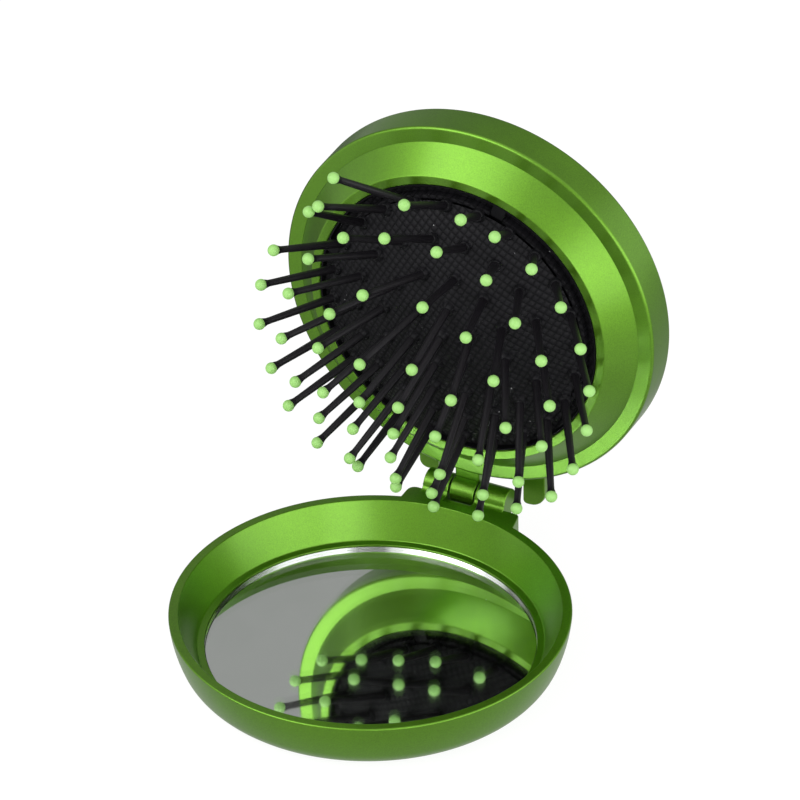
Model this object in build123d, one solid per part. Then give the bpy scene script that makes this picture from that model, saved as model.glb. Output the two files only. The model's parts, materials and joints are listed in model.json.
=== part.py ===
"""Round folding pop-up hairbrush with a mirror in its lid.

Millimetres, +Z up.  The mirror half lies on its flat bottom, centred on the origin, and the
brush half stands open at its back, 90 degrees up, on a hinge that runs along X.

The brush half is drawn closed, as it lies on the mirror half: Z = 0 on the parting plane,
bristles down.  It is then turned about the hinge pin to its open rest position.
"""
from build123d import *
from math import atan2, cos, degrees, hypot, radians, sin
import os

# ---- mirror half -------------------------------------------------------------------------
mirror_half_radius = 36.0        # at the rim
mirror_half_height = 10.7        # flat bottom to rim
wall_mid_drop = 3.3              # a point on the bulged side wall, below the rim
wall_mid_inset = 0.5
wall_foot_inset = 3.5            # side wall's inset where it would meet the bottom
bottom_corner_radius = 6.0
rim_width = 1.75
rim_edge_radius = 0.3
glass_radius = 29.65
glass_thickness = 1.8
glass_bevel_width = 1.3
glass_bevel_drop = 0.5
glass_side_clearance = 0.05
adhesive_thickness = 0.3
adhesive_inset = 1.2
floor_thickness = 1.5
ledge_width = 1.3                # flat step round the glass
ledge_height = 0.35              # step above the face of the glass

# ---- brush half ----------------------------------------------------------------------------
parting_gap = 0.1
brush_half_radius = 36.4
brush_wall_height = 6.9          # cylindrical side wall
brush_half_height = 18.2         # ring face to rear edge
brush_rear_radius = 26.6
brush_wall = 1.8
brush_edge_radius = 0.6
ring_face_width = 2.9
ring_face_thickness = 1.6
collar_ledge_width = 1.2
collar_ledge_thickness = 1.2
collar_height = 4.6              # lip in front of the parting plane
collar_top_radius = 29.1         # where the cone ends and the lip starts
collar_lip_radius = 27.35        # opening of the lip
collar_wall = 1.3
collar_lip_thickness = 1.2
seat_clearance = 0.05

# ---- guide sleeve and pop-up core ------------------------------------------------------------
bore_radius = 25.6               # bore of the sleeve and of the shell behind it
sleeve_length = 18.6
sleeve_mouth_radius = 27.05      # flared, for the outer bristles to fold in through
sleeve_flare_depth = 5.0
sleeve_flange_radius = 28.4
sleeve_flange_thickness = 1.0
rear_lip_radius = 24.9
rear_lip_thickness = 0.6
running_clearance = 0.2          # core in its bore
lug_count = 4
lug_width = 2.6
lug_reach = 0.7                  # into the core's front edge
lug_thickness = 0.8
lug_clearance = 0.1
core_rim_thickness = 1.7
core_rim_wall = 0.75
plate_thickness = 0.9
plate_lip_clearance = 0.2
plate_dish_radius = 17.0
plate_dish_depth = 0.35
vent_radius = 0.8
cushion_radius = 24.55           # edge of the rubber dome, inside the core's rim
cushion_rise = 6.3               # crown above its edge
cushion_skin = 1.0
cushion_form_radius = 25.5       # radius at which the dome's curve reaches the edge plane

# ---- bristles -----------------------------------------------------------------------------
bristle_root_radius = 0.75
bristle_end_radius = 0.6
ball_radius = 1.08
ball_seat = 0.8                  # middle of the ball to the end of the bristle
bristle_hole_clearance = 0.1
foot_radius = 1.0
foot_thickness = 0.5
foot_gap = 0.55                  # under the rubber, so that the foot can tilt
pivot_depth = 3.0                # tilting axis below the rubber surface
foot_bar_width = 1.0
foot_bar_thickness = 0.4

# Each ring: number of bristles, radius where they leave the rubber, radius of the ring of
# balls, its offset along X and towards the hinge, depth of the balls, angle of the first.
centre_bristle = (1, 0.0, 0.0, -1.1, 6.3, 26.0, 0.0)
first_ring = (6, 6.1, 8.8, -0.8, 4.6, 25.3, 41.0)
second_ring = (12, 12.1, 18.0, -0.1, 2.6, 23.5, 10.0)
third_ring = (18, 18.2, 26.5, -0.1, 0.4, 20.9, 0.0)
outer_ring = (24, 24.0, 32.7, 0.2, -0.3, 18.6, 11.0)
third_ring_group = 3             # bristles that tilt together
outer_ring_group = 2

# ---- hinge -----------------------------------------------------------------------------------
hinge_reach = 40.47              # hinge axis from the centre line
hinge_rise = 0.29                # hinge axis above the parting plane
barrel_radius = 2.5
barrel_half_length = 8.5
barrel_clearance = 0.35
pin_radius = 0.8
pin_fixed_clearance = 0.02
pin_running_clearance = 0.05
pin_end_inset = 0.8
tongue_offset = -0.9
tongue_width = 3.4
tongue_slot = 0.95
mirror_shoulder_half_width = 11.0
mirror_shoulder_depth = 5.2
mirror_shoulder_corner = 2.4
stop_clearance = 0.03
brush_shoulder_half_width = 12.5
brush_shoulder_reach = 42.4
brush_shoulder_height = 4.9
brush_shoulder_corner = 2.6
cutout_side_clearance = 0.3

# ---- places that follow from these ---------------------------------------------------------
hinge_axis = Axis((0, hinge_reach, hinge_rise), (1, 0, 0))
glass_top = -mirror_half_height + floor_thickness + adhesive_thickness + glass_thickness
ledge_top = glass_top + ledge_height
recess_radius = glass_radius + glass_side_clearance
bowl_floor_radius = recess_radius + ledge_width
lip_face = -collar_height
ring_bore_radius = brush_half_radius - ring_face_width
rear_face = parting_gap + brush_half_height
core_radius = bore_radius - running_clearance
plate_radius = rear_lip_radius - plate_lip_clearance
core_rim_rear = lip_face + core_rim_thickness
sleeve_rear = lip_face + lug_clearance + sleeve_length
foot_inner = cushion_skin + foot_gap
shoulder_root = brush_half_radius - brush_wall - 1.0


def revolved(points):
    """A ring or disc, from the (radius, height) corners of its section."""
    section = make_face(Polyline(*[(r, 0, z) for r, z in points], close=True))
    return revolve(section, Axis.Z, 360)


def disc(radius, bottom, top):
    return Pos(0, 0, bottom) * Cylinder(radius, top - bottom, align=(Align.CENTER, Align.CENTER, Align.MIN))


def block(x0, x1, y0, y1, z0, z1):
    return Pos((x0 + x1) / 2, (y0 + y1) / 2, (z0 + z1) / 2) * Box(x1 - x0, y1 - y0, z1 - z0)


def hinge_cylinder(radius, x0, x1):
    """A cylinder round the hinge axis, from x0 to x1."""
    across = Rot(0, 90, 0) * Cylinder(radius, x1 - x0)
    return Pos((x0 + x1) / 2, hinge_reach, hinge_rise) * across


# ---- mirror half: shell, adhesive, glass ------------------------------------------------------
def mirror_shell():
    """Moulded bowl with a flat rim, a sloping inside wall and a stepped seat for the glass."""
    rim_inner = mirror_half_radius - rim_width
    bottom = -mirror_half_height
    side = ThreePointArc(
        (mirror_half_radius, 0, 0),
        (mirror_half_radius - wall_mid_inset, 0, -wall_mid_drop),
        (mirror_half_radius - wall_foot_inset, 0, bottom),
    )
    rest = Polyline(
        side @ 1,
        (0, 0, bottom),
        (0, 0, bottom + floor_thickness),
        (recess_radius, 0, bottom + floor_thickness),
        (recess_radius, 0, ledge_top),
        (bowl_floor_radius, 0, ledge_top),
        (rim_inner, 0, 0),
        side @ 0,
    )
    bowl = revolve(make_face(side + rest), Axis.Z, 360)
    corner = bowl.edges().filter_by(GeomType.CIRCLE).group_by(Axis.Z)[0]
    bowl = fillet(corner, bottom_corner_radius)
    rim = [
        e for e in bowl.edges().filter_by(GeomType.CIRCLE)
        if abs(e.radius - mirror_half_radius) < 0.01
    ]
    bowl = fillet(rim, rim_edge_radius)

    width = mirror_shoulder_half_width
    stop_face = hinge_reach + hinge_offset_of_stop()
    shoulder = block(-width, width, 0, stop_face, -mirror_shoulder_depth, 0)
    lower = shoulder.edges().filter_by(Axis.X).group_by(Axis.Z)[0].sort_by(Axis.Y)[-1]
    shoulder = fillet(lower, mirror_shoulder_corner)
    shoulder -= disc(rim_inner + 0.5 * rim_width, -mirror_half_height, 1)
    barrel = hinge_cylinder(barrel_radius, -barrel_half_length, barrel_half_length)
    web = block(
        -barrel_half_length, barrel_half_length,
        hinge_reach - barrel_radius, hinge_reach, -barrel_radius, hinge_rise,
    )
    shell = bowl + shoulder + barrel + web

    slot_half = tongue_width / 2 + tongue_slot
    slot = block(
        tongue_offset - slot_half, tongue_offset + slot_half,
        hinge_reach - barrel_radius - tongue_slot, hinge_reach + 2 * barrel_radius,
        -mirror_shoulder_depth - 1, barrel_radius + 1,
    )
    bore = hinge_cylinder(
        pin_radius + pin_fixed_clearance, -barrel_half_length - 1, barrel_half_length - pin_end_inset,
    )
    return shell - slot - bore


def hinge_offset_of_stop():
    """Open stop: where the brush half's parting face stands, seen from the hinge axis."""
    return parting_gap - hinge_rise - stop_clearance


def mirror_glass():
    """Silvered disc with a bevelled edge."""
    base = glass_top - glass_thickness
    return revolved([
        (0, base),
        (glass_radius, base),
        (glass_radius, glass_top - glass_bevel_drop),
        (glass_radius - glass_bevel_width, glass_top),
        (0, glass_top),
    ])


def mirror_adhesive():
    floor = -mirror_half_height + floor_thickness
    return disc(glass_radius - adhesive_inset, floor, floor + adhesive_thickness)


def hinge_pin():
    left = -barrel_half_length + pin_end_inset
    return hinge_cylinder(pin_radius, left, -left)


# ---- brush half: shell, collar, sleeve --------------------------------------------------------
def brush_shell():
    """Side wall, front ring, conical back and the hinge shoulder with its tongue."""
    wall_inner = brush_half_radius - brush_wall
    edge = parting_gap + brush_wall_height
    slope = (brush_half_radius - brush_rear_radius) / (brush_half_height - brush_wall_height)
    across = brush_wall * hypot(1, slope)
    ledge = parting_gap + ring_face_thickness
    socket_radius = sleeve_flange_inner() + seat_clearance
    cone_at_socket = edge + (brush_half_radius - across - socket_radius) / slope
    inside_edge = edge - (across - brush_wall) / slope
    body = revolved([
        (brush_half_radius, parting_gap),
        (brush_half_radius, edge),
        (brush_rear_radius, rear_face),
        (rear_lip_radius, rear_face),
        (rear_lip_radius, rear_face - rear_lip_thickness),
        (bore_radius, rear_face - rear_lip_thickness),
        (bore_radius, sleeve_rear),
        (socket_radius, sleeve_rear),
        (socket_radius, cone_at_socket),
        (wall_inner, inside_edge),
        (wall_inner, ledge + collar_ledge_thickness),
        (ring_bore_radius - collar_ledge_width, ledge + collar_ledge_thickness),
        (ring_bore_radius - collar_ledge_width, ledge),
        (ring_bore_radius, ledge),
        (ring_bore_radius, parting_gap),
    ])
    outside = [
        e for e in body.edges().filter_by(GeomType.CIRCLE)
        if abs(e.radius - brush_half_radius) < 0.01
    ]
    body = fillet(outside, brush_edge_radius)

    width = brush_shoulder_half_width
    top = parting_gap + brush_shoulder_height
    shoulder = block(-width, width, 0, brush_shoulder_reach, parting_gap, top)
    corners = shoulder.edges().filter_by(Axis.Z).group_by(Axis.Y)[-1]
    shoulder = fillet(corners, brush_shoulder_corner)
    shoulder -= disc(shoulder_root, -1, top + 1)
    opening = barrel_half_length + cutout_side_clearance
    cutout = block(
        -opening, opening,
        hinge_reach - barrel_radius - barrel_clearance, brush_shoulder_reach + 1,
        -1, top + 1,
    )
    tongue_low = tongue_offset - tongue_width / 2
    tongue_high = tongue_offset + tongue_width / 2
    neck = block(
        tongue_low, tongue_high, shoulder_root + 1.0, hinge_reach,
        hinge_rise, hinge_rise + barrel_radius,
    )
    tongue = hinge_cylinder(barrel_radius, tongue_low, tongue_high) + neck
    tongue -= hinge_cylinder(pin_radius + pin_running_clearance, tongue_low - 1, tongue_high + 1)
    return body + (shoulder - cutout) + tongue


def brush_collar():
    """Raised cone and lip that is pressed into the ring and holds the sleeve."""
    outer = ring_bore_radius - seat_clearance
    ledge = parting_gap + ring_face_thickness
    lip_back = lip_face + collar_lip_thickness
    return revolved([
        (outer, parting_gap),
        (collar_top_radius, lip_face),
        (collar_lip_radius, lip_face),
        (collar_lip_radius, lip_back),
        (collar_top_radius - collar_wall / 2, lip_back),
        (outer - collar_wall, ledge),
        (outer, ledge),
    ])


def sleeve_flange_inner():
    """Outside radius of the sleeve."""
    return collar_lip_radius - seat_clearance


def guide_sleeve():
    """Black tube that the core slides in, with a flared mouth and four stop lugs."""
    front = lip_face + lug_clearance
    outside = sleeve_flange_inner()
    flange = lip_face + collar_lip_thickness
    tube = revolved([
        (sleeve_mouth_radius, front),
        (outside, front),
        (outside, flange),
        (sleeve_flange_radius, flange),
        (sleeve_flange_radius, flange + sleeve_flange_thickness),
        (outside, flange + sleeve_flange_thickness),
        (outside, sleeve_rear),
        (bore_radius, sleeve_rear),
        (bore_radius, front + sleeve_flare_depth),
    ])
    lug = block(
        core_radius - lug_reach, outside - 0.1,
        -lug_width / 2, lug_width / 2, front, front + lug_thickness,
    )
    for angle in lug_angles():
        tube += Rot(0, 0, angle) * lug
    return tube


def lug_angles():
    """Midway between the two bristles of every third outer group."""
    count, first = outer_ring[0], outer_ring[-1]
    step = 360 / count
    return [first + step / 2 + k * 360 / lug_count for k in range(lug_count)]


# ---- pop-up core: rim, plate, rubber dome ------------------------------------------------------
def core_rim():
    """Ring that slides in the bore; its front edge is notched for the sleeve's lugs."""
    inner = core_radius - core_rim_wall
    ring = disc(core_radius, lip_face, core_rim_rear) - disc(inner, lip_face - 1, core_rim_rear + 1)
    bridge = disc(core_radius, core_rim_rear - 0.4, core_rim_rear)
    bridge -= disc(inner - 0.5, core_rim_rear - 1, core_rim_rear + 1)
    ring += bridge
    depth = 2 * lug_clearance + lug_thickness
    notch = block(
        core_radius - lug_reach - lug_clearance, core_radius + 1,
        -lug_width / 2 - lug_clearance, lug_width / 2 + lug_clearance,
        lip_face - 1, lip_face + depth,
    )
    for angle in lug_angles():
        ring -= Rot(0, 0, angle) * notch
    return ring


def push_plate():
    """Rear disc that a thumb pushes, lightly dished, with a vent for the air behind the dome."""
    rear = core_rim_rear + plate_thickness
    plate = disc(plate_radius, core_rim_rear, rear)
    plate = fillet(plate.edges().group_by(Axis.Z)[-1], plate_thickness / 4)
    plate -= Pos(0, 0, rear - plate_dish_depth) * Cone(
        plate_dish_radius - 2, plate_dish_radius, plate_dish_depth,
        align=(Align.CENTER, Align.CENTER, Align.MIN),
    )
    return plate - disc(vent_radius, core_rim_rear - 1, rear + 1)


def dome_height(radius):
    """Height of the rubber surface at a radius; the crown is lowest."""
    return lip_face - cushion_rise * (1 - (radius / cushion_form_radius) ** 2)


def ring_bristles(ring):
    """Root point, unit direction and length of every bristle of a ring."""
    count, root_radius, ball_ring, offset_x, offset_y, depth, first = ring
    found = []
    for k in range(count):
        a = radians(first + 360 / count * k)
        root = Vector(root_radius * cos(a), root_radius * sin(a), dome_height(root_radius))
        ball = Vector(offset_x + ball_ring * cos(a), offset_y + ball_ring * sin(a), -depth)
        found.append((root, (ball - root).normalized(), (ball - root).length))
    return found


def cushion():
    """Hollow rubber dome with a hole for every bristle."""
    points = [cushion_radius * k / 4 for k in range(5)]
    outer = Spline(*[(r, 0, dome_height(r)) for r in points])
    inner_edge = cushion_radius - cushion_skin
    inner_points = [inner_edge * k / 4 for k in range(5)]
    inner = Spline(*[(r, 0, dome_height(r) + cushion_skin) for r in inner_points])
    sides = Line(outer @ 1, inner @ 1) + Line(outer @ 0, inner @ 0)
    dome = revolve(make_face(outer + inner + sides), Axis.Z, 360)
    holes = []
    for ring in (centre_bristle, first_ring, second_ring, third_ring, outer_ring):
        for root, along, _ in ring_bristles(ring):
            drill = Cylinder(bristle_root_radius + bristle_hole_clearance, 4 * cushion_skin)
            holes.append(Plane(origin=root, z_dir=along) * drill)
    return dome - holes


# ---- bristles ---------------------------------------------------------------------------------
def bristle(root, along, length):
    """Foot under the rubber and a tapered shaft that ends in the seat of its ball."""
    start = -foot_inner - foot_thickness
    end = length - ball_seat
    shape = make_face(Polyline(
        (0, 0, start),
        (foot_radius, 0, start),
        (foot_radius, 0, -foot_inner),
        (bristle_root_radius, 0, -foot_inner),
        (bristle_end_radius, 0, end),
        (0, 0, end),
        close=True,
    ))
    return Plane(origin=root, z_dir=along) * revolve(shape, Axis.Z, 360)


def ball(root, along, length):
    """Ball with a flat where it sits on the end of its bristle."""
    seat = (ball_radius ** 2 - ball_seat ** 2) ** 0.5
    arc = ThreePointArc((seat, 0, -ball_seat), (ball_radius, 0, 0), (0, 0, ball_radius))
    section = make_face(arc + Polyline((0, 0, ball_radius), (0, 0, -ball_seat), (seat, 0, -ball_seat)))
    return Plane(origin=root + along * length, z_dir=along) * revolve(section, Axis.Z, 360)


def foot_bar(one, other):
    """Strip that joins the feet of two neighbours under the rubber."""
    depth = foot_inner + foot_thickness / 2
    a = one[0] - one[1] * depth
    b = other[0] - other[1] * depth
    along = (b - a).normalized()
    mean = one[1] + other[1]
    normal = mean - along * mean.dot(along)
    place = Plane(origin=(a + b) / 2, x_dir=along, z_dir=normal)
    return place * Box((b - a).length, foot_bar_width, foot_bar_thickness)


def bristle_group(members):
    """Bristles whose feet are moulded on one strip, and their balls."""
    strip = bristle(*members[0])
    for previous, member in zip(members, members[1:]):
        strip += bristle(*member)
        strip += foot_bar(previous, member)
    return strip, Compound(children=[ball(*member) for member in members])


def closed_ring(members):
    """A full ring of bristles on one round strip, and their balls."""
    strip, balls = bristle_group(members)
    return strip + foot_bar(members[-1], members[0]), balls


def pivot_of(members):
    """Point that a group tilts about, and its angle round the core."""
    points = [root - along * pivot_depth for root, along, _ in members]
    total = points[0]
    for point in points[1:]:
        total = total + point
    middle = total / len(points)
    return middle, degrees(atan2(middle.Y, middle.X))


# ---- assembly ------------------------------------------------------------------------------------
mirror_half = {
    "mirror_shell": mirror_shell(),
    "mirror_adhesive": mirror_adhesive(),
    "mirror_glass": mirror_glass(),
    "hinge_pin": hinge_pin(),
}

inner_strip, inner_balls = closed_ring(ring_bristles(first_ring))
centre = ring_bristles(centre_bristle)[0]
hub = ring_bristles(first_ring)
inner_strip += bristle(*centre)
inner_strip += foot_bar(hub[0], centre)
inner_strip += foot_bar(hub[3], centre)
second_strip, second_balls = closed_ring(ring_bristles(second_ring))

brush_half = {
    "brush_shell": brush_shell(),
    "brush_collar": brush_collar(),
    "guide_sleeve": guide_sleeve(),
    "core_rim": core_rim(),
    "push_plate": push_plate(),
    "cushion": cushion(),
    "inner_bristles": inner_strip,
    "inner_balls": Compound(children=[*inner_balls.children, ball(*centre)]),
    "second_bristles": second_strip,
    "second_balls": second_balls,
}


def add_groups(ring, size, name):
    """Nodes for the groups of one ring, numbered round the core."""
    members = ring_bristles(ring)
    for k in range(0, len(members), size):
        strip, balls = bristle_group(members[k:k + size])
        number = k // size + 1
        brush_half[f"{name}_bristles_{number:02d}"] = strip
        brush_half[f"{name}_balls_{number:02d}"] = balls
        pivot, angle = pivot_of(members[k:k + size])
        print(f"{name} {number:02d} pivot {pivot.X:.3f} {pivot.Y:.3f} {pivot.Z:.3f} angle {angle:.2f}")


add_groups(third_ring, third_ring_group, "third")
add_groups(outer_ring, outer_ring_group, "outer")

os.makedirs("parts", exist_ok=True)
lift = Pos(0, 0, mirror_half_height)
for name, shape in mirror_half.items():
    export_step(lift * shape, f"parts/{name}.step")
for name, shape in brush_half.items():
    export_step(lift * shape.rotate(hinge_axis, -90), f"parts/{name}.step")
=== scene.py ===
"""Looks of a round folding hairbrush with a mirror in its lid, in metres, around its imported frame."""
import json
from math import acos, atan2, ceil, cos, degrees, pi, radians, sin, sqrt, tan

import bmesh
import bpy
from mathutils import Matrix, Quaternion, Vector


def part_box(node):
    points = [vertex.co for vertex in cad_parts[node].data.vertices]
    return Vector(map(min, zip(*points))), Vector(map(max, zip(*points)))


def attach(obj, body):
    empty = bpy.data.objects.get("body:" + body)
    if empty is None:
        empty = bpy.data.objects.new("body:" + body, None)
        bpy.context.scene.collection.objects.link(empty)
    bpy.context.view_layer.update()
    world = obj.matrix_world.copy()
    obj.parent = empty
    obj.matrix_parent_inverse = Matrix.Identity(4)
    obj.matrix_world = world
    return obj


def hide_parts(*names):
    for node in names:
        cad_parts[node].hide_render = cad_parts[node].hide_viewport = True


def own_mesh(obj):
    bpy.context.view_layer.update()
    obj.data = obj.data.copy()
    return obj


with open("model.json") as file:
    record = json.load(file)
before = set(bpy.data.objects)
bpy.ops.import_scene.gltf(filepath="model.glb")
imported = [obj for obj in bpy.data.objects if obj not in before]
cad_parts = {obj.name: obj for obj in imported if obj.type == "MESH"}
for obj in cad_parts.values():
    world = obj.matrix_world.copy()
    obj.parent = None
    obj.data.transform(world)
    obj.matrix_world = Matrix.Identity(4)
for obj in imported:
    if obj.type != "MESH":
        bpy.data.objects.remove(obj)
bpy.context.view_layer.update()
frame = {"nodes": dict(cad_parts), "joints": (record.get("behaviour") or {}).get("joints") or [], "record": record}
scene = bpy.context.scene

# ---- Mirror case ------------------------------------------------------------------------------
# The lid of the brush: a shallow bowl moulded in ABS and sprayed with a fine green metallic
# lacquer.  Its flat rim runs out at the back into the hinge shoulder with two knuckles.
# It is drawn in millimetres with the rim's plane at height 0.
mm = 0.001
hinge = Vector(frame["joints"][0]["pos_m"]) / mm
hinge_rise = 0.29                # hinge axis above the rim
case_height = hinge.z - hinge_rise
case_radius = -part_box("mirror_shell")[0].x / mm
wall_bulge = 24.2                # radius of the side wall's curve
wall_bulge_rise = 1.97           # its centre above the rim
wall_top = -0.35                 # where that curve runs into the rim's rounding
bottom_corner = 6.0
case_rim_width = 1.75
case_floor = 1.5
glass_low, glass_high = [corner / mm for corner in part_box("mirror_glass")]
glass_radius = glass_high.x
fit_gap = 0.05                   # beside a part that is laid or pressed in
glass_seat = glass_radius + fit_gap
ledge_height = 0.35              # above the glass
ledge_width = 1.3
shoulder_half = 11.0
shoulder_front = 30.0            # inside the bowl's wall
shoulder_back = 38.1
shoulder_depth = 5.2
shoulder_flare = 1.4             # how much wider it is at the bowl, on the right
barrel = 2.5                     # radius of the knuckles
knuckle_foot = 1.2               # hollow corner between knuckle and shoulder
knuckle_root = -1.0              # how deep the knuckles start in the shoulder
knuckle_left, knuckle_right = -8.5, 7.9
web = ((39.6, -3.9), (37.0, -4.6))
slot_left, slot_right = -3.5, 1.9
slot_front = 36.0
cradle_gap = 0.4                 # between the tongue and the cradle below it
cradle_root = 0.5                # how far the cradle goes into the shoulder
cradle_top, cradle_bottom = -2.0, -4.8
cradle_back = ((40.6, -4.2), (39.6, -4.6))
wall_root = 1.0                  # how far the shoulder and the ears go into their walls
cutter_reach = 9.0               # how far a cutter goes past the rim's plane
sharp = radians(32)              # edges that turn more than this stay crisp
green = (0.118, 0.295, 0.0100, 1.0)
on_table = Matrix.Translation((0, 0, case_height * mm)) @ Matrix.Scale(mm, 4)
along_x = Matrix(((0, 0, 1, 0), (1, 0, 0, 0), (0, 1, 0, 0), (0, 0, 0, 1)))


def arc(centre, radius, start, end, step=8):
    """Points of an arc, from one angle to another in degrees."""
    count = max(2, ceil(abs(end - start) / step))
    angles = [radians(start + (end - start) * k / count) for k in range(count + 1)]
    return [(centre[0] + radius * cos(a), centre[1] + radius * sin(a)) for a in angles]


def rounded(corners):
    """Outline through corners; one that has a third number is turned into an arc of that radius."""
    outline = []
    for k, (x, y, *radius) in enumerate(corners):
        here = Vector((x, y))
        if not radius:
            outline.append((x, y))
            continue
        back = (Vector(corners[k - 1][:2]) - here).normalized()
        on = (Vector(corners[(k + 1) % len(corners)][:2]) - here).normalized()
        half = acos(max(-1, min(1, back.dot(on)))) / 2
        centre = here + (back + on).normalized() * radius[0] / sin(half)
        start = here + back * radius[0] / tan(half) - centre
        end = here + on * radius[0] / tan(half) - centre
        first = atan2(start.y, start.x)
        turn = (atan2(end.y, end.x) - first + pi) % (2 * pi) - pi
        outline += arc(centre, radius[0], degrees(first), degrees(first + turn), 15)
    return outline


def turned(outline, segments=256, solid=None, place=Matrix()):
    """Solid turned about its Z axis from a (radius, height) outline."""
    solid = solid or bmesh.new()
    rings = []
    for radius, height in outline:
        count = segments if radius > 1e-6 else 1
        angles = [2 * pi * k / segments for k in range(count)]
        points = [Vector((radius * cos(a), radius * sin(a), height)) for a in angles]
        rings.append([solid.verts.new(place @ point) for point in points])
    pairs = list(zip(rings, rings[1:]))
    if len(rings[0]) > 1 and len(rings[-1]) > 1:
        pairs.append((rings[-1], rings[0]))
    for one, other in pairs:
        for k in range(segments):
            n = (k + 1) % segments
            near = (one[k % len(one)], one[n % len(one)])
            far = (other[n % len(other)], other[k % len(other)])
            solid.faces.new(list(dict.fromkeys(near + far)))
    bmesh.ops.recalc_face_normals(solid, faces=solid.faces)
    return solid


def prism(profile, low, high, edge):
    """Bar of an (x, y) profile from height low to high, with its end edges rounded."""
    solid = bmesh.new()
    ends = [[solid.verts.new((x, y, height)) for x, y in profile] for height in (low, high)]
    caps = [solid.faces.new(end) for end in ends]
    for k in range(len(profile)):
        n = (k + 1) % len(profile)
        solid.faces.new((ends[0][k], ends[0][n], ends[1][n], ends[1][k]))
    bmesh.ops.recalc_face_normals(solid, faces=solid.faces)
    rims = [e for cap in caps for e in cap.edges]
    bmesh.ops.bevel(solid, geom=rims, offset=edge, segments=3, profile=0.5, affect="EDGES")
    return solid


def bar(profile, left, right, edge):
    """Prism of a (y, z) profile that lies along the hinge."""
    solid = prism(profile, left, right, edge)
    solid.transform(along_x)
    return solid


def round_cutter(radius):
    """Plain cylinder that reaches past a piece above and below."""
    low, high = -cutter_reach, cutter_reach
    return turned([(0, low), (radius, low), (radius, high), (0, high)])


def as_object(name, solid):
    """Object of this name from a solid."""
    mesh = bpy.data.meshes.new(name)
    solid.to_mesh(mesh)
    solid.free()
    made = bpy.data.objects.new(name, mesh)
    scene.collection.objects.link(made)
    return made


def combined(piece, solid, operation):
    """Joins a solid to a piece or cuts it out, and keeps the result as the piece's mesh."""
    tool = as_object("tool", solid)
    step = piece.modifiers.new("step", "BOOLEAN")
    step.operation = operation
    step.solver = "EXACT"
    step.object = tool
    graph = bpy.context.evaluated_depsgraph_get()
    piece.data = bpy.data.meshes.new_from_object(piece.evaluated_get(graph))
    piece.modifiers.clear()
    bpy.data.objects.remove(tool)


def taken(piece):
    """Solid of a piece that was only needed to make another, and is removed."""
    solid = bmesh.new()
    solid.from_mesh(piece.data)
    bpy.data.objects.remove(piece)
    return solid


def fitted(piece, place, finish, body, slot, *nodes):
    """Sets a finished piece in its place, shades it, and makes it ride in place of CAD nodes."""
    piece.data.transform(place)
    piece.data.materials.clear()
    piece.data.materials.append(finish)
    piece.data.polygons.foreach_set("use_smooth", [True] * len(piece.data.polygons))
    piece.data.set_sharp_from_angle(angle=sharp)
    piece.modifiers.new("edges", "WEIGHTED_NORMAL").keep_sharp = True
    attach(piece, body)
    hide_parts(*nodes)


def node(tree, kind, links=None, **settings):
    """Node of a shader tree, with its settings and what its inputs are set or linked to."""
    made = tree.nodes.new(kind)
    for name, value in settings.items():
        setattr(made, name, value)
    for name, value in (links or {}).items():
        if isinstance(value, bpy.types.NodeSocket):
            tree.links.new(value, made.inputs[name])
        else:
            made.inputs[name].default_value = value
    return made


def maths(tree, operation, *values):
    """Result of a Math node."""
    return node(tree, "ShaderNodeMath", dict(enumerate(values)), operation=operation).outputs[0]


def ranged(tree, value, low, high, to_low, to_high):
    """Value taken smoothly from one range to another."""
    names = ("Value", "From Min", "From Max", "To Min", "To Max")
    links = dict(zip(names, (value, low, high, to_low, to_high)))
    return node(tree, "ShaderNodeMapRange", links, interpolation_type="SMOOTHSTEP").outputs[0]


def millimetres(tree):
    """Place on the piece, in millimetres."""
    place = node(tree, "ShaderNodeTexCoord").outputs["Object"]
    links = {"Vector": place, "Scale": 1 / mm}
    return node(tree, "ShaderNodeVectorMath", links, operation="SCALE").outputs[0]


def noise(tree, place, size, detail=2.0):
    """Noise from 0 to 1 with features of a size in millimetres, which may be a socket."""
    scale = maths(tree, "DIVIDE", 1.0, size)
    return node(tree, "ShaderNodeTexNoise", {"Vector": place, "Scale": scale, "Detail": detail})


def effect(name, inputs, outputs):
    """Node group with named sockets; gives its tree, inputs and outputs."""
    tree = bpy.data.node_groups.new(name, "ShaderNodeTree")
    for label, value in inputs.items():
        kind = "NodeSocketColor" if isinstance(value, tuple) else "NodeSocketFloat"
        tree.interface.new_socket(label, in_out="INPUT", socket_type=kind).default_value = value
    for label, kind in outputs.items():
        tree.interface.new_socket(label, in_out="OUTPUT", socket_type=f"NodeSocket{kind}")
    return tree, node(tree, "NodeGroupInput").outputs, node(tree, "NodeGroupOutput").inputs


def handling_marks():
    """Soft smudges left by fingers, and the few specks of dust that a clean piece has."""
    tree, given, result = effect(
        "Handling marks",
        {"Smudge Size": 9.0, "Dust Spacing": 3.0, "Dust Size": 0.1},
        {"Smudge": "Float", "Dust": "Float"},
    )
    place = millimetres(tree)
    soft = noise(tree, place, given["Smudge Size"], 4.0).outputs[0]
    tree.links.new(ranged(tree, soft, 0.4, 0.7, 0.0, 1.0), result["Smudge"])
    scale = maths(tree, "DIVIDE", 1.0, given["Dust Spacing"])
    cells = node(tree, "ShaderNodeTexVoronoi", {"Vector": place, "Scale": scale})
    reach = maths(tree, "MULTIPLY", cells.outputs["Distance"], given["Dust Spacing"])
    pick = node(tree, "ShaderNodeSeparateColor", {"Color": cells.outputs["Color"]}).outputs[0]
    size = maths(tree, "MULTIPLY", given["Dust Size"], pick)
    speck = maths(tree, "LESS_THAN", reach, size)
    some = maths(tree, "GREATER_THAN", pick, 0.6)
    tree.links.new(maths(tree, "MULTIPLY", speck, some), result["Dust"])
    return tree


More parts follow.
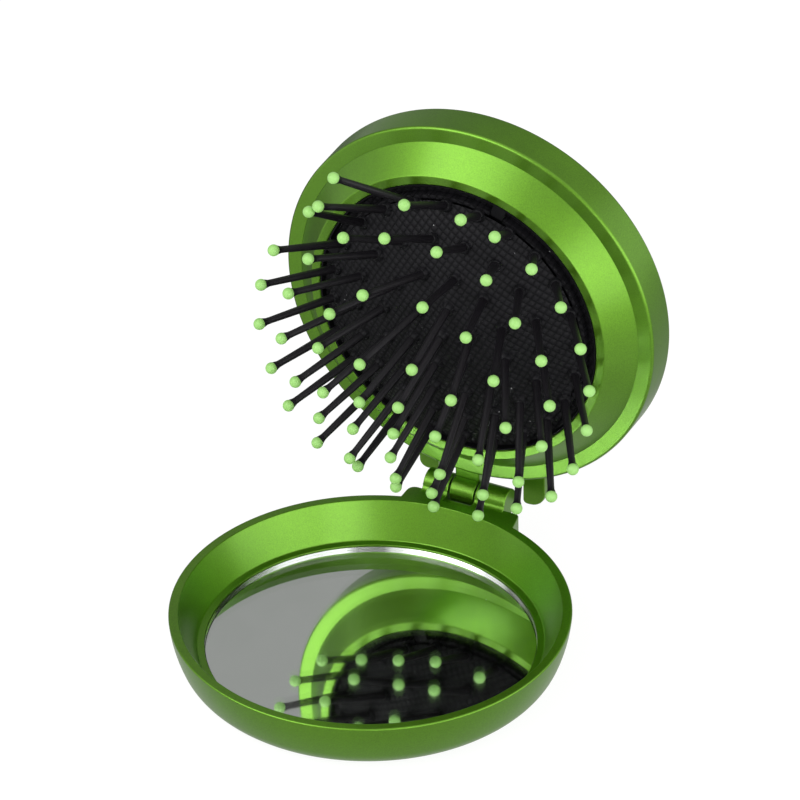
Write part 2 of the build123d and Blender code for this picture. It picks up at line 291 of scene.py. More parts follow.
def metal_flake():
    """Lacquer with fine aluminium flake: sparkle, slight mottling, and a height for the bump."""
    tree, given, result = effect(
        "Metal flake",
        {"Colour": (0.1, 0.3, 0.01, 1.0), "Flake Size": 0.2, "Sparkle": 0.3, "Smudge": 0.0},
        {"Color": "Color", "Roughness": "Float", "Height": "Float"},
    )
    place = millimetres(tree)
    flake = noise(tree, place, given["Flake Size"], 1.0).outputs[0]
    cloud = noise(tree, place, 12.0, 3.0).outputs[0]
    glint = maths(tree, "MULTIPLY", maths(tree, "SUBTRACT", flake, 0.5), given["Sparkle"])
    light = maths(tree, "ADD", ranged(tree, cloud, 0.25, 0.75, 0.94, 1.05), glint)
    scaled = node(tree, "ShaderNodeVectorMath", {0: given["Colour"], "Scale": light}, operation="SCALE")
    tree.links.new(scaled.outputs[0], result["Color"])
    rough = ranged(tree, cloud, 0.3, 0.7, 0.33, 0.37)
    marked = maths(tree, "ADD", rough, maths(tree, "MULTIPLY", given["Smudge"], 0.03))
    tree.links.new(marked, result["Roughness"])
    tree.links.new(flake, result["Height"])
    return tree


def material(name):
    """Empty material; gives it with its tree and its Principled shader."""
    made = bpy.data.materials.new(name)
    made.use_nodes = True
    return made, made.node_tree, made.node_tree.nodes["Principled BSDF"]


def bumped(tree, shader, height, depth):
    """Links a height to the shader's normal; depth is in millimetres."""
    links = {"Height": height, "Distance": depth * mm}
    tree.links.new(node(tree, "ShaderNodeBump", links).outputs[0], shader.inputs["Normal"])


marks_group = handling_marks()
flake_group = metal_flake()


def marked(tree, smudge_size=9.0, dust_spacing=3.0, dust_size=0.1):
    """Masks of the smudges and the dust, of these sizes in millimetres."""
    sizes = {"Smudge Size": smudge_size, "Dust Spacing": dust_spacing, "Dust Size": dust_size}
    return node(tree, "ShaderNodeGroup", sizes, node_tree=marks_group).outputs


def green_lacquer():
    """Metallic green under a satin clear coat."""
    made, tree, shader = material("green lacquer")
    smudge = marked(tree)["Smudge"]
    values = {"Colour": green, "Flake Size": 0.22, "Sparkle": 0.6, "Smudge": smudge}
    flake = node(tree, "ShaderNodeGroup", values, node_tree=flake_group)
    tree.links.new(flake.outputs["Color"], shader.inputs["Base Color"])
    tree.links.new(flake.outputs["Roughness"], shader.inputs["Roughness"])
    shader.inputs["Metallic"].default_value = 0.9
    shader.inputs["Coat Weight"].default_value = 0.5
    shader.inputs["Coat Roughness"].default_value = 0.25
    bumped(tree, shader, flake.outputs["Height"], 0.009)
    return made


def mirror_bowl():
    """Bowl with its curved side wall, its rim, and the ledge and the seat of the mirror."""
    wall_centre = (case_radius - sqrt(wall_bulge ** 2 - wall_bulge_rise ** 2), wall_bulge_rise)
    inside = wall_bulge - bottom_corner
    drop = case_height - bottom_corner + wall_bulge_rise
    corner_centre = (wall_centre[0] + sqrt(inside ** 2 - drop ** 2), bottom_corner - case_height)
    meet = -degrees(atan2(drop, sqrt(inside ** 2 - drop ** 2)))
    rim = -degrees(atan2(wall_bulge_rise - wall_top, case_radius - wall_centre[0]))
    ledge = glass_high.z - case_height + ledge_height
    floor = case_floor - case_height
    return turned(rounded([
        (0, floor),
        (glass_seat, floor),
        (glass_seat, ledge, 0.08),
        (glass_seat + ledge_width, ledge, 0.35),
        (case_radius - case_rim_width, 0, 0.22),
        (case_radius, 0, 0.28),
        *arc(wall_centre, wall_bulge, rim, meet, 3),
        *arc(corner_centre, bottom_corner, meet, -90, 6),
        (0, -case_height),
    ]))


def knuckle_profile():
    """Barrel round the hinge pin, with a hollow foot in front and a web below."""
    reach = barrel + knuckle_foot
    drop = knuckle_foot - hinge_rise
    run = sqrt(reach ** 2 - drop ** 2)
    lean = degrees(atan2(-drop, run))
    foot = arc((hinge.y - run, knuckle_foot), knuckle_foot, -90, lean)
    top = arc((hinge.y, hinge_rise), barrel, 180 + lean, -55)
    return [(hinge.y - run, knuckle_root), *foot, *top, *web]


def cradle_profile():
    """Floor of the slot between the knuckles, hollowed round the tongue."""
    hollow = arc((hinge.y, hinge_rise), barrel + cradle_gap, 205, 275)
    front = slot_front - cradle_root
    return [(front, cradle_top), *hollow, *cradle_back, (front, cradle_bottom)]


def shoulder_plan():
    """Outline of the shoulder from above."""
    return rounded([
        (-shoulder_half, shoulder_front),
        (-shoulder_half, shoulder_back, 1.6),
        (shoulder_half, shoulder_back, 1.0),
        (shoulder_half + shoulder_flare, shoulder_front),
    ])


def slot_plan():
    """Cut between the knuckles, open at the back."""
    back = slot_front + cutter_reach
    return [(slot_left, slot_front), (slot_right, slot_front), (slot_right, back), (slot_left, back)]


case = as_object("mirror_case", mirror_bowl())
root = as_object("shoulder", prism(shoulder_plan(), -shoulder_depth, 0, 0.25))
combined(root, round_cutter(case_radius - wall_root), "DIFFERENCE")
for left, right in ((knuckle_left, slot_left), (slot_right, knuckle_right)):
    combined(root, bar(knuckle_profile(), left, right, 0.22), "UNION")
combined(root, prism(slot_plan(), -cutter_reach, cutter_reach, 0.01), "DIFFERENCE")
combined(root, bar(cradle_profile(), slot_left - 0.1, slot_right + 0.1, 0.02), "UNION")
combined(case, taken(root), "UNION")
lacquer = green_lacquer()
fitted(case, on_table, lacquer, "mirror_half", "green_shell", "mirror_shell")

# ---- Mirror and its adhesive ------------------------------------------------------------------
# A disc of float glass with a finely ground edge, silvered and painted on its back and laid in the
# lid's seat.  A round pad of white foam tape holds it down.
back_coat = 0.4                  # silver and the paint that guards it
arris = 0.1                      # the edge's corners, taken off
flat_margin = 0.3                # keeps the shading of the flat part flat
edge_skin = 0.02                 # how deep the edge's ground finish goes
hair = 0.01                      # overlap or clearance of two faces that would be one


def blended(tree, share, one, other):
    """Colour between two, by a share from 0 to 1."""
    return node(tree, "ShaderNodeMix", {0: share, 6: one, 7: other}, data_type="RGBA").outputs[2]


def foam_tape():
    """White closed-cell foam."""
    made, tree, shader = material("foam tape")
    grain = noise(tree, millimetres(tree), 0.4, 3.0).outputs[0]
    tone = blended(tree, grain, (0.62, 0.62, 0.58, 1), (0.74, 0.74, 0.71, 1))
    tree.links.new(tone, shader.inputs["Base Color"])
    shader.inputs["Roughness"].default_value = 0.85
    bumped(tree, shader, grain, 0.05)
    return made


def silvering():
    """Silver on the back of the glass, which hardly blurs what it reflects."""
    made, tree, shader = material("silvering")
    marks = marked(tree, smudge_size=14.0, dust_spacing=4.5, dust_size=0.16)
    tone = blended(tree, marks["Dust"], (0.93, 0.95, 0.92, 1), (0.5, 0.5, 0.5, 1))
    tree.links.new(tone, shader.inputs["Base Color"])
    clean = maths(tree, "ADD", maths(tree, "MULTIPLY", marks["Smudge"], 0.015), 0.02)
    rough = maths(tree, "ADD", clean, maths(tree, "MULTIPLY", marks["Dust"], 0.5))
    tree.links.new(rough, shader.inputs["Roughness"])
    shader.inputs["Metallic"].default_value = 1.0
    return made


def float_glass():
    """Clear glass with a faint green tint, polished on its faces and ground on its edge."""
    made, tree, shader = material("float glass")
    smudge = marked(tree, smudge_size=11.0)["Smudge"]
    tone = blended(tree, smudge, (0.96, 0.985, 0.97, 1), (0.93, 0.96, 0.94, 1))
    tree.links.new(tone, shader.inputs["Base Color"])
    flat = node(tree, "ShaderNodeVectorMath", {0: millimetres(tree), 1: (1, 1, 0)}, operation="MULTIPLY")
    length = node(tree, "ShaderNodeVectorMath", {0: flat.outputs[0]}, operation="LENGTH")
    on_edge = maths(tree, "GREATER_THAN", length.outputs["Value"], glass_radius - edge_skin)
    ground = maths(tree, "MULTIPLY", on_edge, 0.16)
    smudged = maths(tree, "MULTIPLY", smudge, 0.015)
    tree.links.new(maths(tree, "ADD", smudged, ground), shader.inputs["Roughness"])
    shader.inputs["Transmission Weight"].default_value = 1.0
    shader.inputs["IOR"].default_value = 1.52
    return made


def shaded(name, finish):
    """Gives a finish to a CAD node that is kept as it is."""
    kept = frame["nodes"][name].data.materials
    kept.clear()
    kept.append(finish)


base, face = glass_low.z, glass_high.z
silver_face = base + back_coat
glass_back = silver_face - hair
silver_radius = glass_radius - hair
glass = as_object("mirror_disc", turned(rounded([
    (0, glass_back),
    (glass_radius - flat_margin, glass_back),
    (glass_radius, glass_back, edge_skin),
    (glass_radius, face - arris),
    (glass_radius - arris, face),
    (glass_radius - flat_margin, face),
    (0, face),
])))
fitted(glass, Matrix.Scale(mm, 4), float_glass(), "mirror_half", "mirror", "mirror_glass")
silver = as_object("mirror_silver", turned([
    (0, base),
    (silver_radius, base),
    (silver_radius, silver_face),
    (0, silver_face),
]))
fitted(silver, Matrix.Scale(mm, 4), silvering(), "mirror_half", "mirror")
shaded("mirror_adhesive", foam_tape())

# ---- Hinge pin --------------------------------------------------------------------------------
# A plain steel pin, drawn and cut to length.  It is pressed into the two knuckles of the lid,
# and the tongue of the brush half turns on it.
draw_lines = (0.15, 4.0, 4.0)    # long along the pin and fine round it


def drawn_steel():
    """Bare steel with fine lines along its length."""
    made, tree, shader = material("drawn steel")
    links = {0: millimetres(tree), 1: draw_lines}
    place = node(tree, "ShaderNodeVectorMath", links, operation="MULTIPLY")
    lines = noise(tree, place.outputs[0], 0.4, 2.0).outputs[0]
    tone = blended(tree, lines, (0.45, 0.45, 0.46, 1), (0.62, 0.62, 0.61, 1))
    tree.links.new(tone, shader.inputs["Base Color"])
    tree.links.new(ranged(tree, lines, 0.2, 0.8, 0.25, 0.4), shader.inputs["Roughness"])
    shader.inputs["Metallic"].default_value = 1.0
    bumped(tree, shader, lines, 0.01)
    return made


shaded("hinge_pin", drawn_steel())

# ---- Brush case -------------------------------------------------------------------------------
# The other half, moulded and lacquered like the lid: a side wall, a flat front ring and a back
# that narrows to the thumb opening.  Two ears stand behind the ring, with the hinge tongue
# between them.  It is drawn closed, with height 0 on the rim of the lid, then swung open.
brush_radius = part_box("brush_shell")[1].x / mm
parting = 0.1
wall_edge = 7.0
rear_face = 18.3
rear_radius = 26.6
rear_opening = 24.9
rear_lip = 0.6                   # step that stops the core's rim
sleeve_bore = 25.6
sleeve_seat = 27.35
sleeve_rear = 14.1
seat_step = 0.6
wall = 1.8
ring_width = 2.9
ring_bore = brush_radius - ring_width
ring_back = 2.9
collar_land = 1.7                # depth of the step that the collar is pressed onto
land_width = 1.2
ear_half = 12.65
ear_root = 32.0                  # inside the side wall
ear_reach_left, ear_reach_right = 41.4, 43.4
ear_front, ear_back = 4.9, 7.6
ear_gap = 0.4                    # beside the knuckles
between_ears = 37.0
tongue_left, tongue_right = -3.2, 1.6
neck_front, neck_back = 34.9, 38.2
neck_rise = 3.6                  # above the hinge's axis, into the side wall
neck_foot = 0.2
to_hinge = Matrix.Translation((0, -hinge.y, -hinge_rise))
opened = Matrix.Scale(mm, 4) @ Matrix.Translation(hinge) @ Matrix.Rotation(-pi / 2, 4, "X") @ to_hinge


def brush_body():
    """Side wall, flat front ring and the sloping back with its seat for the sleeve."""
    return turned(rounded([
        (ring_bore, parting),
        (brush_radius, parting, 0.55),
        (brush_radius, wall_edge, 0.8),
        (rear_radius, rear_face, 0.8),
        (rear_opening, rear_face, 0.25),
        (rear_opening, rear_face - rear_lip),
        (sleeve_bore, rear_face - rear_lip),
        (sleeve_bore, sleeve_rear),
        (sleeve_seat, sleeve_rear),
        (sleeve_seat, sleeve_rear + seat_step),
        (brush_radius - wall, wall_edge - wall / 2),
        (brush_radius - wall, ring_back),
        (ring_bore - land_width, ring_back),
        (ring_bore - land_width, collar_land),
        (ring_bore, collar_land),
    ]))


def ears_plan():
    """Outline of both ears and the bridge between them, seen from the front of the brush."""
    right, left = knuckle_right + ear_gap, knuckle_left - ear_gap
    return rounded([
        (ear_half, ear_root),
        (ear_half, ear_reach_right, 3.0),
        (right, ear_reach_right, 0.8),
        (right, between_ears, 0.5),
        (left, between_ears, 0.5),
        (left, ear_reach_left, 0.8),
        (-ear_half, ear_reach_left, 1.6),
        (-ear_half, ear_root),
    ])


def tongue_profile():
    """Barrel on the pin and a neck that runs up into the side wall."""
    top, foot = hinge_rise + neck_rise, hinge_rise + neck_foot
    turn = arc((hinge.y, hinge_rise), barrel, 178, 450)
    return [(neck_front, top), (neck_front, foot), (neck_back, foot), *turn]


brush_case = as_object("brush_case", brush_body())
ears = as_object("ears", prism(ears_plan(), ear_front, ear_back, 0.2))
combined(ears, round_cutter(brush_radius - wall_root), "DIFFERENCE")
combined(brush_case, taken(ears), "UNION")
combined(brush_case, bar(tongue_profile(), tongue_left, tongue_right, 0.3), "UNION")
fitted(brush_case, opened, lacquer, "brush_half", "green_shell", "brush_shell")

# ---- Pad collar -------------------------------------------------------------------------------
# A separate lacquered ring pressed into the front of the brush half: a cone that rises out of
# the flat ring to a narrow lip, which traps the guide sleeve.
lip_face = -4.6
lip_outer = 29.1
lip_opening = 27.35
lip_thickness = 1.2
collar_skin = 0.65               # how much the cone's inside stands off its outside

collar = as_object("pad_collar", turned(rounded([
    (ring_bore - 2 * hair, parting + 2 * hair),
    (lip_outer, lip_face, 0.45),
    (lip_opening, lip_face, 0.3),
    (lip_opening, lip_face + lip_thickness),
    (lip_outer - collar_skin, lip_face + lip_thickness),
    (ring_bore - 2 * collar_skin - fit_gap, collar_land),
    (ring_bore - fit_gap, collar_land),
])))
fitted(collar, opened, lacquer, "brush_half", "green_shell", "brush_collar")

# ---- Guide sleeve and thumb plate -------------------------------------------------------------
# Black moulded parts.  The sleeve is a tube with a flared mouth and four stop lugs.  The core
# slides in it, and carries at its back the dished plate that a thumb pushes to pop the
# bristles out.
sleeve_outside = lip_opening - fit_gap
sleeve_mouth = 27.05
sleeve_front = lip_face + 0.1
flare_depth = 5.0
flange_radius = lip_opening + 1.05
flange_thickness = 1.0
lug_count = 4
lug_width = 2.6
lug_thickness = 0.8
lug_first = 18.5                 # degrees
lug_inner = 24.7
plate_low, plate_high = -2.9, -2.0
plate_radius = 24.7
dish_radius = 17.0
dish_depth = 0.35
vent = 0.8


def black_moulding():
    """Matt black plastic with a fine moulded grain."""
    made, tree, shader = material("black moulding")
    marks = marked(tree, dust_spacing=3.5, dust_size=0.12)
    grain = noise(tree, millimetres(tree), 0.25, 3.0).outputs[0]
    tone = blended(tree, marks["Dust"], (0.005, 0.005, 0.006, 1), (0.25, 0.25, 0.25, 1))
    tree.links.new(tone, shader.inputs["Base Color"])
    rough = maths(tree, "ADD", maths(tree, "MULTIPLY", marks["Smudge"], 0.08), 0.5)
    tree.links.new(rough, shader.inputs["Roughness"])
    shader.inputs["Specular IOR Level"].default_value = 0.15
    bumped(tree, shader, grain, 0.012)
    return made


def lug_plan():
    """Outline of one stop lug, from the bore into the tube's wall."""
    outer, half = sleeve_mouth + 0.1, lug_width / 2
    return [(lug_inner, -half), (outer, -half), (outer, half), (lug_inner, half)]


def guide_tube():
    """Flanged tube with its lugs."""
    under_lip = lip_face + lip_thickness
    tube = turned(rounded([
        (sleeve_mouth, sleeve_front, 0.1),
        (sleeve_outside, sleeve_front),
        (sleeve_outside, under_lip),
        (flange_radius, under_lip),
        (flange_radius, under_lip + flange_thickness),
        (sleeve_outside, under_lip + flange_thickness),
        (sleeve_outside, sleeve_rear),
        (sleeve_bore, sleeve_rear),
        (sleeve_bore, sleeve_front + flare_depth),
    ]))
    for k in range(lug_count):
        lug = prism(lug_plan(), sleeve_front, sleeve_front + lug_thickness, 0.12)
        lug.transform(Matrix.Rotation(radians(lug_first + k * 360 / lug_count), 4, "Z"))
        shape = bpy.data.meshes.new("lug")
        lug.to_mesh(shape)
        lug.free()
        tube.from_mesh(shape)
        bpy.data.meshes.remove(shape)
    return tube


moulding = black_moulding()
sleeve = as_object("guide_tube", guide_tube())
fitted(sleeve, opened, moulding, "brush_half", "black_plastic", "guide_sleeve")

plate = as_object("thumb_plate", turned(rounded([
    (vent, plate_low),
    (plate_radius, plate_low),
    (plate_radius, plate_high, 0.3),
    (dish_radius, plate_high, 1.5),
    (dish_radius - 2, plate_high - dish_depth, 2.0),
    (vent, plate_high - dish_depth, 0.1),
])))
fitted(plate, opened, moulding, "pop_up_core", "black_plastic", "push_plate")

# ---- Rubber pad -------------------------------------------------------------------------------
# The cushion: a hollow dome of soft black rubber, pressed with a fine pillow texture, with a
# small smooth boss round every bristle.  Its edge is bonded round the core's rim, and a thin
# wiper of the same sheet closes the mouth of the sleeve.
pad_radius = 24.55
pad_rise = 6.3
pad_form = 25.5                  # radius at which the dome's curve would reach the lip
pad_skin = 1.0
pad_steps, pad_segments = 48, 192
wiper_bore = 25.45
wiper_sag = 0.4                  # how much deeper its inner edge lies
weave_pitch = 1.15
weave_angle = radians(-28)
boss_radius = 1.25
boss_height = 0.7
boss_sides = 20

# Each ring of bristles: their number, radius at the pad, radius at the tips, the tips' offset
# in x and towards the hinge, their depth below the rim's plane, and the first one's angle.
rings = {
    "centre": (1, 0.0, 0.0, -1.1, 6.3, 26.0, 0.0),
    "first": (6, 6.1, 8.8, -0.8, 5.1, 25.3, 41.0),
    "second": (12, 12.1, 18.0, -0.4, 3.2, 23.5, 10.0),
    "third": (18, 18.2, 26.5, -0.3, 1.1, 20.9, 0.0),
    "outer": (24, 24.0, 32.7, 0.2, -0.3, 18.6, 11.0),
}
# Bristles that stand askew, by their number in the ring, and how far their tips lean in x and
# towards the hinge.
askew = {
    "first": {1: (0.0, -1.0), 3: (-1.5, 0.5), 4: (0.5, 1.5), 5: (1.5, 0.0)},
    "second": {0: (1.5, 0.0), 3: (-0.5, -1.5), 4: (0.5, -1.5), 7: (-1.5, 0.5), 8: (-2.5, 0.0)},
    "third": {
        2: (0.0, 1.0), 4: (-1.5, -0.5), 5: (0.5, -1.5), 7: (1.0, -1.0), 8: (1.0, 0.5), 9: (0.0, 1.0),
        11: (-0.5, -0.5), 12: (-0.5, -1.0), 13: (-1.0, 0.0), 15: (1.0, 0.0), 16: (-0.5, 1.5),
    },
    "outer": {
        1: (0.0, 1.0), 2: (0.5, 1.0), 5: (-0.5, -1.0), 6: (0.5, -2.5), 7: (1.0, -2.0), 10: (0.5, 0.5),
        14: (2.5, -3.0), 15: (-2.0, 1.0), 16: (-6.5, -2.0), 17: (-1.0, 1.5), 18: (1.5, 1.0),
    },
}


def dome(radius):
    """Height of the pad's surface."""
    return lip_face - pad_rise * (1 - (radius / pad_form) ** 2)


def dome_line(radius, depth, steps):
    """Section of the pad from its middle to a radius, at a depth below the surface."""
    radii = [radius * k / steps for k in range(steps + 1)]
    return [(r, dome(r) + depth) for r in radii]


def stands(ring):
    """Place of each bristle of a ring, its Z axis from the pad to the tip, its length and its lean."""
    count, root_radius, tip_radius, offset_x, offset_y, depth, first = rings[ring]
    found = []
    for k in range(count):
        a = radians(first + 360 / count * k)
        foot = Vector((root_radius * cos(a), root_radius * sin(a), dome(root_radius)))
        even = Vector((offset_x + tip_radius * cos(a), offset_y + tip_radius * sin(a), -depth))
        lean = Vector((*askew.get(ring, {}).get(k, (0.0, 0.0)), 0.0))
        along = even + lean - foot
        place = Matrix.Translation(foot) @ along.to_track_quat("Z", "Y").to_matrix().to_4x4()
        found.append((place, along.length, lean))
    return found


def pressed_rubber():
    """Black rubber with rows of small pillows, pressed into the flat sheet before it is domed, with painted shade
    in the gaps between them.
    """
    made, tree, shader = material("pressed rubber")
    place = millimetres(tree)
    turn = node(tree, "ShaderNodeVectorRotate", {"Vector": place, "Angle": weave_angle},
                rotation_type="Y_AXIS")
    across = node(tree, "ShaderNodeSeparateXYZ", {"Vector": turn.outputs[0]}).outputs
    waves = []
    for along in (across["X"], across["Z"]):
        wave = maths(tree, "SINE", maths(tree, "MULTIPLY", along, pi / weave_pitch))
        waves.append(maths(tree, "ABSOLUTE", wave))
    pillow = maths(tree, "POWER", maths(tree, "MULTIPLY", *waves), 0.55)
    dust = marked(tree, dust_spacing=2.6, dust_size=0.16)["Dust"]
    grain = noise(tree, place, 0.12, 2.0).outputs[0]
    # Painted light: the pillows' crowns are coloured lighter and the gaps between them darker, as painted shade in
    # the gaps.
    crown_light_gap_shade = ranged(tree, pillow, 0.25, 0.9, 0.0, 1.0)
    clean = blended(tree, crown_light_gap_shade, (0.002, 0.002, 0.003, 1), (0.008, 0.0075, 0.0095, 1))
    tone = blended(tree, dust, clean, (0.35, 0.35, 0.36, 1))
    tree.links.new(tone, shader.inputs["Base Color"])
    rough = maths(tree, "SUBTRACT", 0.72, maths(tree, "MULTIPLY", pillow, 0.2))
    tree.links.new(rough, shader.inputs["Roughness"])
    height = maths(tree, "ADD", pillow, maths(tree, "MULTIPLY", grain, 0.12))
    shader.inputs["Specular IOR Level"].default_value = 0.19
    bumped(tree, shader, height, 0.16)
    return made


outside = dome_line(pad_radius, 0.0, pad_steps)
inside = dome_line(pad_radius - pad_skin, pad_skin, pad_steps // 2)
dome_solid = turned(outside + inside[::-1], pad_segments)
boss = rounded([
    (0, -0.5),
    (boss_radius + 0.1, -0.5),
    (boss_radius, 0.12, 0.1),
    (boss_radius - 0.25, boss_height, 0.2),
    (0, boss_height),
])
for ring in rings:
    for place, *_ in stands(ring):
        turned(boss, boss_sides, dome_solid, place)
pad = as_object("rubber_pad", dome_solid)
rubber = pressed_rubber()
fitted(pad, opened, rubber, "pop_up_core", "rubber", "cushion")

shaded("core_rim", rubber)
wiper_front = sleeve_front + lug_thickness + 0.1
wiper = as_object("mouth_wiper", turned(rounded([
    (wiper_bore, wiper_front + wiper_sag, 0.1),
    (sleeve_mouth, wiper_front),
    (sleeve_mouth, wiper_front + 0.4),
    (wiper_bore, wiper_front + wiper_sag + 0.3, 0.1),
])))
fitted(wiper, opened, rubber, "brush_half", "rubber")

# ---- Bristles and ball tips -------------------------------------------------------------------
# Nylon bristles, tapered towards a small cup that holds the tip: a bead of pale green resin,
# dipped and cured.  In the two outer rings, two or three neighbours share a foot strip and
# tilt together.
shaft_root = 0.8
shaft_waist = 0.62
foot_radius = 1.0
foot_top, foot_bottom = -1.5, -2.05
waist_low, waist_high = 2.4, 1.5  # below the middle of the ball, as the next two
cup_low, cup_edge = 0.75, 0.15
cup_radius = 0.84
cup_flare = 0.08
cup_bore = 0.4
ball_radius = 1.08
shaft_sides, ball_sides = 20, 24
far_askew = 5.0                  # lean from which a bristle is a piece of its own
bodies = frame["record"]["behaviour"]["bodies"]
body_of = {node_name: body for body, nodes in bodies.items() for node_name in nodes}


def black_nylon():
    """Satin black nylon, as it leaves the mould."""
    made, tree, shader = material("black nylon")
    dust = marked(tree, dust_spacing=4.0)["Dust"]
    grain = noise(tree, millimetres(tree), 0.3, 2.0).outputs[0]
    tone = blended(tree, dust, (0.007, 0.006, 0.008, 1), (0.3, 0.3, 0.3, 1))
    tree.links.new(tone, shader.inputs["Base Color"])
    tree.links.new(ranged(tree, grain, 0.3, 0.7, 0.36, 0.44), shader.inputs["Roughness"])
    shader.inputs["Specular IOR Level"].default_value = 0.3
    bumped(tree, shader, grain, 0.008)
    return made


def green_resin():
    """Slightly cloudy pale green resin."""
    made, tree, shader = material("green resin")
    place = millimetres(tree)
    cloud = noise(tree, place, 1.4, 2.0).outputs[0]
    tone = blended(tree, cloud, (0.30, 0.60, 0.15, 1), (0.37, 0.71, 0.20, 1))
    tree.links.new(tone, shader.inputs["Base Color"])
    tree.links.new(ranged(tree, cloud, 0.3, 0.7, 0.38, 0.5), shader.inputs["Roughness"])
    bumped(tree, shader, noise(tree, place, 0.3, 2.0).outputs[0], 0.01)
    return made


def shaft_outline(length):
    """Foot under the rubber, tapered shaft and flared cup."""
    cup = length - cup_edge
    return rounded([
        (0, foot_bottom),
        (foot_radius, foot_bottom, 0.1),
        (foot_radius, foot_top - 0.05, 0.1),
        (shaft_root, foot_top, 0.05),
        (shaft_root, 0),
        ((shaft_root + shaft_waist) / 2 - 0.01, length / 2),
        (shaft_waist, length - waist_low, 2.0),
        (shaft_waist + 0.02, length - waist_high, 0.8),
        (cup_radius, length - cup_low, 0.3),
        (cup_radius + cup_flare, cup, 0.03),
        (cup_bore, cup),
        (0, cup),
    ])


def ball_outline(length):
    """Ball round the shaft's end, which narrows to a point inside the cup."""
    side = arc((0, length), ball_radius, -60, 90, 12)
    return [(0, length - 0.9 * ball_radius), *side[:-1], (0, length + ball_radius)]


def add_askew(name, place, length, body):
    """A bristle that leans far by itself, made as a shaft and a tip of its own."""
    kinds = (
        ("shaft", shaft_outline(length), shaft_sides, nylon, "bristle"),
        ("tip", ball_outline(length), ball_sides, resin, "ball"),
    )
    for kind, outline, sides, finish, slot in kinds:
        piece = as_object(f"{name}_askew_{kind}", turned(outline, sides, place=place))
        fitted(piece, opened, finish, body, slot)
        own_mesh(piece)


def add_bristles(name, number, members):
    """The shafts and the tips of the bristles that tilt together."""
    body = body_of[f"{name}_bristles{number}"]
    shafts, tips = bmesh.new(), bmesh.new()
    for place, length, lean in members:
        if lean.length > far_askew:
            add_askew(name + number, place, length, body)
            continue
        turned(shaft_outline(length), shaft_sides, shafts, place)
        turned(ball_outline(length), ball_sides, tips, place)
    shafts = as_object(f"{name}_shafts{number}", shafts)
    tips = as_object(f"{name}_tips{number}", tips)
    fitted(shafts, opened, nylon, body, "bristle", f"{name}_bristles{number}")
    fitted(tips, opened, resin, body, "ball", f"{name}_balls{number}")


nylon, resin = black_nylon(), green_resin()
add_bristles("inner", "", stands("centre") + stands("first"))
add_bristles("second", "", stands("second"))
for name, size in (("third", 3), ("outer", 2)):
    members = stands(name)
    for k in range(0, len(members), size):
        add_bristles(name, f"_{k // size + 1:02d}", members[k:k + size])

# ---- Table, light and camera ------------------------------------------------------------------
# A white table top under soft light from the front left and the right, with grey and dark
# cards round the brush and on the table that only glossy surfaces and glass see.
table_half = 3.0
card_lift = 0.0008               # cards that lie on the table, above the grey one


def seen_directly(tree):
    """1 for rays from the camera, from gloss or through glass, and 0 for soft light."""
    rays = node(tree, "ShaderNodeLightPath").outputs
    both = maths(tree, "MAXIMUM", rays["Is Camera Ray"], rays["Is Glossy Ray"])
    return maths(tree, "MAXIMUM", both, rays["Is Transmission Ray"])


def table_top():
    """Matt white that keeps the brush's soft shadow and shows as white."""
    made, tree, shader = material("white table")
    tree.nodes.remove(shader)
    out = tree.nodes["Material Output"]
    soft = node(tree, "ShaderNodeBsdfDiffuse", {"Color": (0.86, 0.86, 0.86, 1)}).outputs[0]
    glow = node(tree, "ShaderNodeEmission", {"Color": (1, 1, 1, 1), "Strength": 1.12}).outputs[0]
    share = maths(tree, "MULTIPLY", seen_directly(tree), 0.82)
    mixed = node(tree, "ShaderNodeMixShader", {0: share, 1: soft, 2: glow}).outputs[0]
    tree.links.new(mixed, out.inputs["Surface"])
    return made


def sheet(name, half_width, half_depth, finish, place=Matrix()):
    """Flat rectangle of the stage."""
    corners = [
        place @ Vector((half_width * x, half_depth * y, 0))
        for x, y in ((-1, -1), (1, -1), (1, 1), (-1, 1))
    ]
    mesh = bpy.data.meshes.new(name)
    mesh.from_pydata(corners, [], [(0, 1, 2, 3)])
    mesh.materials.append(finish)
    made = bpy.data.objects.new(name, mesh)
    scene.collection.objects.link(made)
    return made


def card(name, centre, facing, size, level):
    """Card of an even brightness that shows only in glossy surfaces and glass."""
    made, tree, shader = material(name)
    tree.nodes.remove(shader)
    glow = node(tree, "ShaderNodeEmission", {"Color": (level, level, level, 1), "Strength": 1.0})
    tree.links.new(glow.outputs[0], tree.nodes["Material Output"].inputs["Surface"])
    turn = (Vector(facing) - Vector(centre)).to_track_quat("Z", "Y").to_matrix().to_4x4()
    board = sheet(name, size[0] / 2, size[1] / 2, made, Matrix.Translation(centre) @ turn)
    board.visible_camera = False
    board.visible_diffuse = False
    board.visible_shadow = False


def card_on_table(name, x, y, size, level, height=card_lift):
    """Card that lies on the table."""
    card(name, (x, y, height), (x, y, 1.0), size, level)


def softbox(name, centre, aim, size, level):
    """Rectangular lamp of an even brightness, which the camera doesn't see."""
    lamp = bpy.data.lights.new(name, "AREA")
    lamp.shape = "RECTANGLE"
    lamp.size, lamp.size_y = size
    lamp.energy = level * pi * size[0] * size[1]
    made = bpy.data.objects.new(name, lamp)
    made.location = centre
    made.rotation_mode = "QUATERNION"
    made.rotation_quaternion = (Vector(aim) - Vector(centre)).to_track_quat("-Z", "Y")
    made.visible_camera = False
    scene.collection.objects.link(made)


sheet("table", table_half, table_half, table_top())

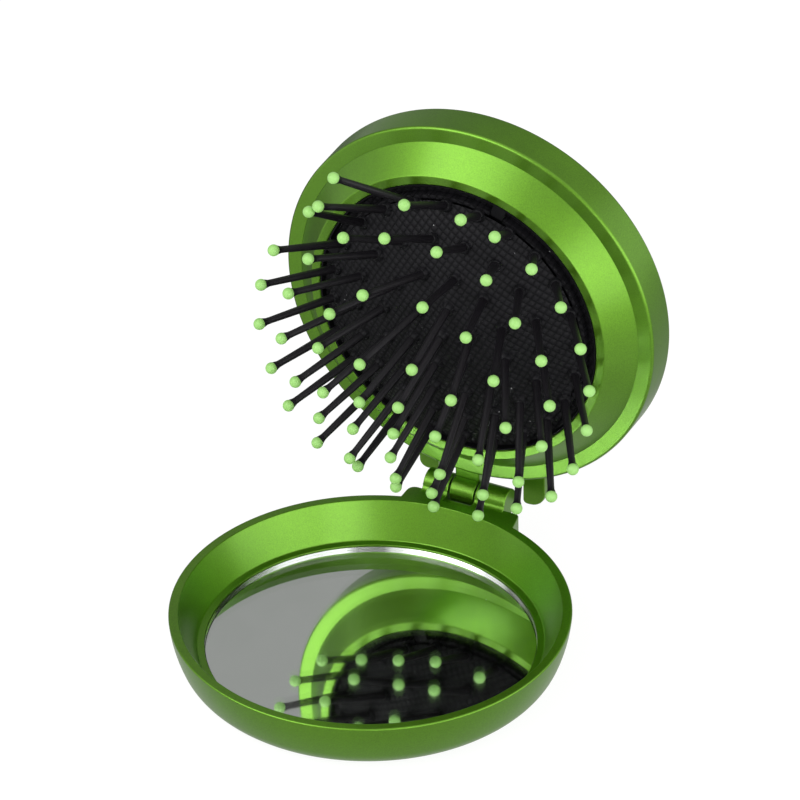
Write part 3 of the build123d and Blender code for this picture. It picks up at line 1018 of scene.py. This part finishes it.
world = bpy.data.worlds.new("white room")
scene.world = world
world.use_nodes = True
room = world.node_tree
soft = room.nodes["Background"]
soft.inputs["Color"].default_value = (1, 1, 1, 1)
soft.inputs["Strength"].default_value = 0.6
white = node(room, "ShaderNodeBackground", {"Color": (1, 1, 1, 1), "Strength": 1.0})
shares = {0: seen_directly(room), 1: soft.outputs[0], 2: white.outputs[0]}
both = node(room, "ShaderNodeMixShader", shares)
room.links.new(both.outputs[0], room.nodes["World Output"].inputs["Surface"])

middle = (0.0, 0.02, 0.035)
softbox("front left softbox", (-0.22, -0.36, 0.42), middle, (0.48, 0.48), 2.6)
softbox("right softbox", (0.49, -0.02, 0.13), middle, (0.5, 0.3), 1.8)
softbox("front right softbox", (0.40, -0.45, 0.19), middle, (0.32, 0.32), 2.6)
card("grey card behind", (-0.22, 0.37, 0.22), middle, (1.5, 0.62), 0.32)
card("dark card by the camera", (0.226, -0.442, 0.37), middle, (0.24, 0.24), 0.1)
card("dark card in front", (-0.19, -0.45, 0.10), middle, (0.6, 0.22), 0.4)
card_on_table("grey card on table", 0.0, 0.0, (1.6, 1.6), 0.56, card_lift / 2)
card_on_table("dark card on table", -0.24, 0.17, (0.4, 0.3), 0.12)
card_on_table("pale card front left", -0.33, -0.30, (0.58, 0.5), 0.85)
card_on_table("dark card behind right", 0.165, 0.205, (0.27, 0.29), 0.38)
card_on_table("pale card right", 0.36, -0.19, (0.56, 0.5), 0.78)

aim_point = Vector((-0.0043, 0.02125, 0.04151))
distance = 1.5
azimuth, elevation, roll = radians(27.034), radians(34.124), radians(-0.8395)
back = Vector((sin(azimuth) * cos(elevation), -cos(azimuth) * cos(elevation), sin(elevation)))
camera = bpy.data.objects.new("camera", bpy.data.cameras.new("camera"))
camera.data.lens = 379.65
camera.data.sensor_width = 36.0
camera.location = aim_point + back * distance
camera.rotation_mode = "QUATERNION"
camera.rotation_quaternion = (-back).to_track_quat("-Z", "Y") @ Quaternion((0, 0, 1), roll)
scene.collection.objects.link(camera)
bpy.context.scene.camera = camera
scene.view_settings.view_transform = "Standard"
